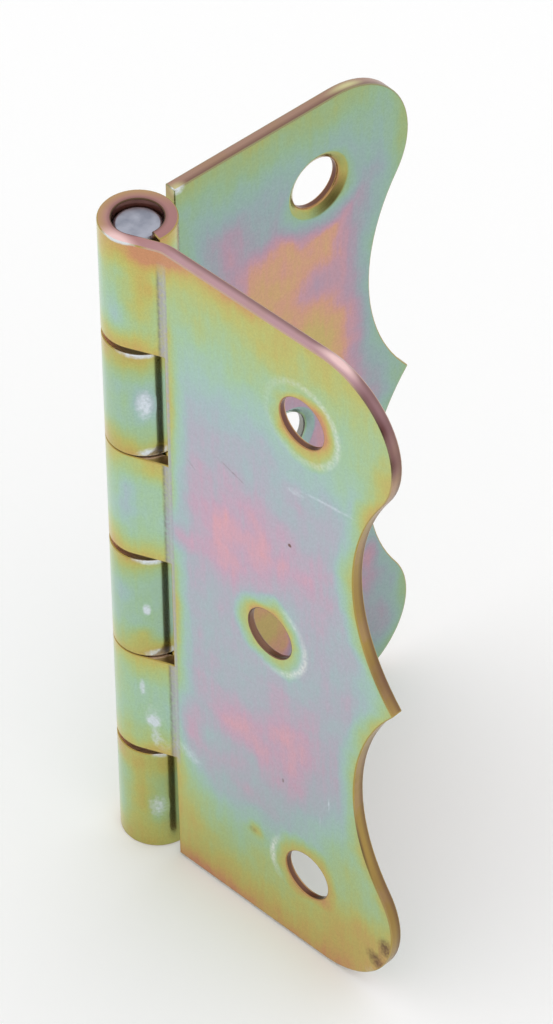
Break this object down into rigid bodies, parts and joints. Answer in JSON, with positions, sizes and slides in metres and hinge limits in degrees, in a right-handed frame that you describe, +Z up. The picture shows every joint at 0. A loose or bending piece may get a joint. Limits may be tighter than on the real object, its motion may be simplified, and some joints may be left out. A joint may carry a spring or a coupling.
{
  "type": "decorative hinge",
  "caption": "Surface hinge of stamped and rolled sheet steel with scalloped, pointed leaves, countersunk screw holes and a loose swing about a plain pin.",
  "frame": {"origin": "centre of the fixed leaf's middle screw hole, on the back face that lies against the frame", "axes": "+Z up along the pin, +X along the fixed leaf away from the pin, +Y out of the fixed leaf's back face"},
  "size_m": [0.0285, 0.0285, 0.0606],
  "materials": {
    "plated_steel": "yellow-chromated zinc, satin and iridescent",
    "bare_steel": "plain drawn wire"
  },
  "bodies": {
    "fixed_side": {"fixed_leaf": "plated_steel", "hinge_pin": "bare_steel"},
    "swing_side": {"swing_leaf": "plated_steel"}
  },
  "joints": [
    {"name": "leaf_swing", "type": "hinge", "parent": "fixed_side", "child": "swing_side", "pos_m": [-0.0137, -0.0015, 0], "axis": [0, 0, 1], "range_deg": [-228, 87.5]}
  ]
}
